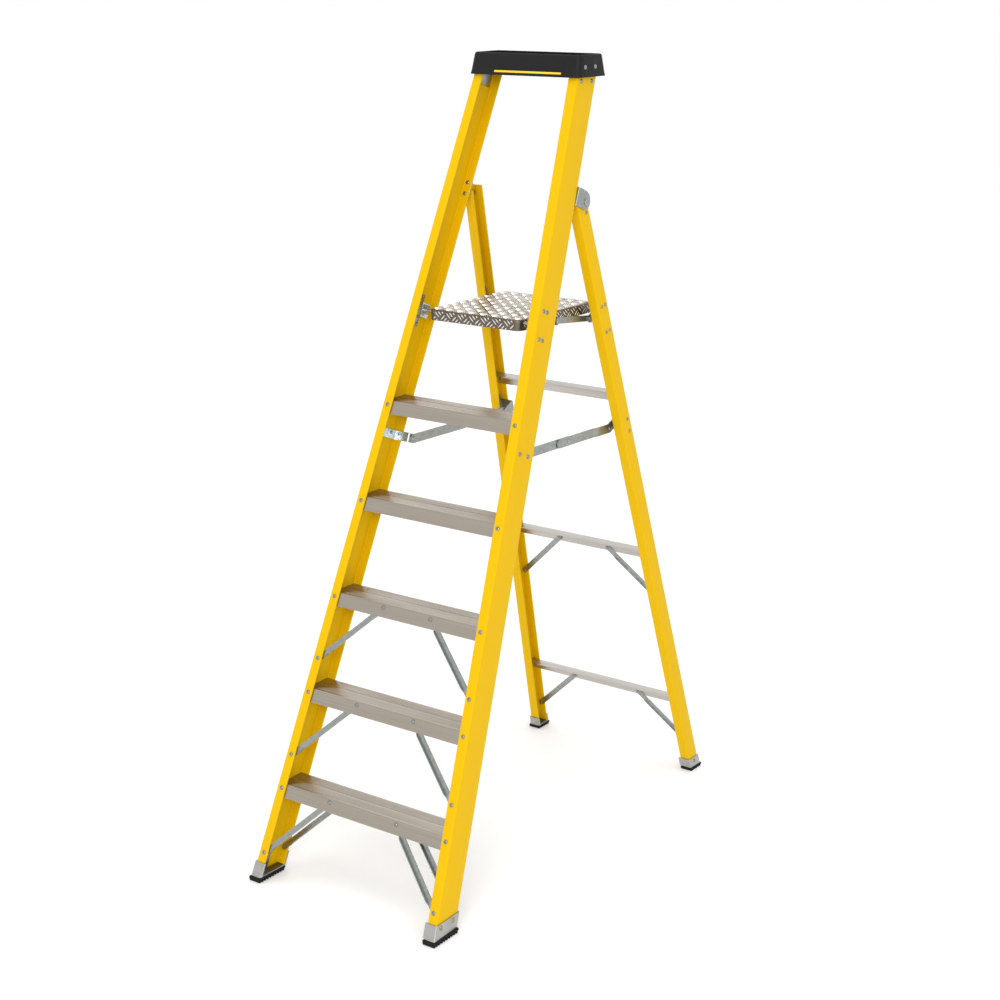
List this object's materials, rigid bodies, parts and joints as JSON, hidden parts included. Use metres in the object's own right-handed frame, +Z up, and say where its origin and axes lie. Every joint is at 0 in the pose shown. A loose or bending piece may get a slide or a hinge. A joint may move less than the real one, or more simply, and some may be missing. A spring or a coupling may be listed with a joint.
{
  "type": "platform step ladder",
  "caption": "Fibreglass platform step ladder: tapering channel stiles with ribbed treads, folding tread-plate platform, spreader stays, braced rear legs and a black tool-tray cap.",
  "frame": {"origin": "on the floor, at the middle of the open ladder's footprint", "axes": "+Z up, -Y towards the person facing the treads, +X to their right"},
  "size_m": [0.5894, 1.2718, 2.0075],
  "materials": {
    "fibreglass": "bright yellow pulled glass fibre with fine lengthwise strands",
    "tread_aluminium": "mill-finish extruded aluminium with lengthwise ribs",
    "deck_aluminium": "bright tread plate with raised bars",
    "shoe_aluminium": "plain stamped aluminium",
    "zinc_steel": "zinc-plated pressed steel",
    "bright_steel": "bright plated steel",
    "black_plastic": "matte black moulded plastic",
    "black_rubber": "matte black ridged rubber"
  },
  "bodies": {
    "front_frame": {"front_stile_left": "fibreglass", "cap_bracket_left": "zinc_steel", "tread_1_brace_left": "zinc_steel", "tread_2_brace_left": "zinc_steel", "tread_3_brace_left": "zinc_steel", "tread_1_rear_brace_left": "zinc_steel", "front_shoe_left": "shoe_aluminium", "front_foot_pad_left": "black_rubber", "hinge_bracket_left": "bright_steel", "hinge_pin_left": "bright_steel", "platform_bracket_left": "zinc_steel", "platform_pin_left": "bright_steel", "spreader_front_bracket_left": "zinc_steel", "front_stile_right": "fibreglass", "cap_bracket_right": "zinc_steel", "tread_1_brace_right": "zinc_steel", "tread_2_brace_right": "zinc_steel", "tread_3_brace_right": "zinc_steel", "tread_1_rear_brace_right": "zinc_steel", "front_shoe_right": "shoe_aluminium", "front_foot_pad_right": "black_rubber", "hinge_bracket_right": "bright_steel", "hinge_pin_right": "bright_steel", "platform_bracket_right": "zinc_steel", "platform_pin_right": "bright_steel", "spreader_front_bracket_right": "zinc_steel", "tread_1": "tread_aluminium", "tread_2": "tread_aluminium", "tread_3": "tread_aluminium", "tread_4": "tread_aluminium", "tread_5": "tread_aluminium", "top_cap": "black_plastic"},
    "rear_frame": {"rear_rung_upper": "tread_aluminium", "rear_rung_middle": "tread_aluminium", "rear_rung_lower": "tread_aluminium", "rear_leg_left": "fibreglass", "middle_rung_brace_left": "zinc_steel", "lower_rung_brace_left": "zinc_steel", "rear_shoe_left": "shoe_aluminium", "rear_foot_pad_left": "black_rubber", "rear_platform_bracket_left": "zinc_steel", "platform_arm_pin_left": "bright_steel", "spreader_rear_bracket_left": "zinc_steel", "rear_leg_right": "fibreglass", "middle_rung_brace_right": "zinc_steel", "lower_rung_brace_right": "zinc_steel", "rear_shoe_right": "shoe_aluminium", "rear_foot_pad_right": "black_rubber", "rear_platform_bracket_right": "zinc_steel", "platform_arm_pin_right": "bright_steel", "spreader_rear_bracket_right": "zinc_steel"},
    "platform": {"platform_deck": "deck_aluminium"},
    "arm_left": {"platform_arm_left": "zinc_steel"},
    "front_link_left": {"spreader_front_link_left": "zinc_steel", "spreader_mid_pin_left": "bright_steel"},
    "rear_link_left": {"spreader_rear_link_left": "zinc_steel"},
    "arm_right": {"platform_arm_right": "zinc_steel"},
    "front_link_right": {"spreader_front_link_right": "zinc_steel", "spreader_mid_pin_right": "bright_steel"},
    "rear_link_right": {"spreader_rear_link_right": "zinc_steel"}
  },
  "joints": [
    {"name": "rear_fold", "type": "hinge", "parent": "front_frame", "child": "rear_frame", "pos_m": [0, 0.16301, 1.65439], "axis": [-1, 0, 0], "range_deg": [0, 33]},
    {"name": "platform_fold", "type": "hinge", "parent": "front_frame", "child": "platform", "pos_m": [0, -0.04898, 1.38074], "axis": [1, 0, 0], "range_deg": [0, 64.35]},
    {"name": "arm_left_fold", "type": "hinge", "parent": "rear_frame", "child": "arm_left", "pos_m": [-0.143, 0.23472, 1.34948], "axis": [-1, 0, 0], "range_deg": [0, 38.16]},
    {"name": "front_link_left_fold", "type": "hinge", "parent": "front_frame", "child": "front_link_left", "pos_m": [-0.1613, -0.11083, 1.05961], "axis": [1, 0, 0], "range_deg": [0, 61.04]},
    {"name": "rear_link_left_fold", "type": "hinge", "parent": "rear_frame", "child": "rear_link_left", "pos_m": [-0.168, 0.3006, 1.05063], "axis": [-1, 0, 0], "range_deg": [0, 71.97]},
    {"name": "arm_right_fold", "type": "hinge", "parent": "rear_frame", "child": "arm_right", "pos_m": [0.143, 0.23472, 1.34948], "axis": [-1, 0, 0], "range_deg": [0, 38.16]},
    {"name": "front_link_right_fold", "type": "hinge", "parent": "front_frame", "child": "front_link_right", "pos_m": [0.1613, -0.11083, 1.05961], "axis": [1, 0, 0], "range_deg": [0, 61.04]},
    {"name": "rear_link_right_fold", "type": "hinge", "parent": "rear_frame", "child": "rear_link_right", "pos_m": [0.168, 0.3006, 1.05063], "axis": [-1, 0, 0], "range_deg": [0, 71.97]}
  ],
  "couplings": [
    {"joint": "platform_fold", "follows": "rear_fold", "ratio": 1.9497},
    {"joint": "arm_left_fold", "follows": "rear_fold", "ratio": 1.1561},
    {"joint": "front_link_left_fold", "follows": "rear_fold", "ratio": 1.8494},
    {"joint": "rear_link_left_fold", "follows": "rear_fold", "ratio": 2.1806},
    {"joint": "arm_right_fold", "follows": "rear_fold", "ratio": 1.1561},
    {"joint": "front_link_right_fold", "follows": "rear_fold", "ratio": 1.8494},
    {"joint": "rear_link_right_fold", "follows": "rear_fold", "ratio": 2.1806}
  ]
}
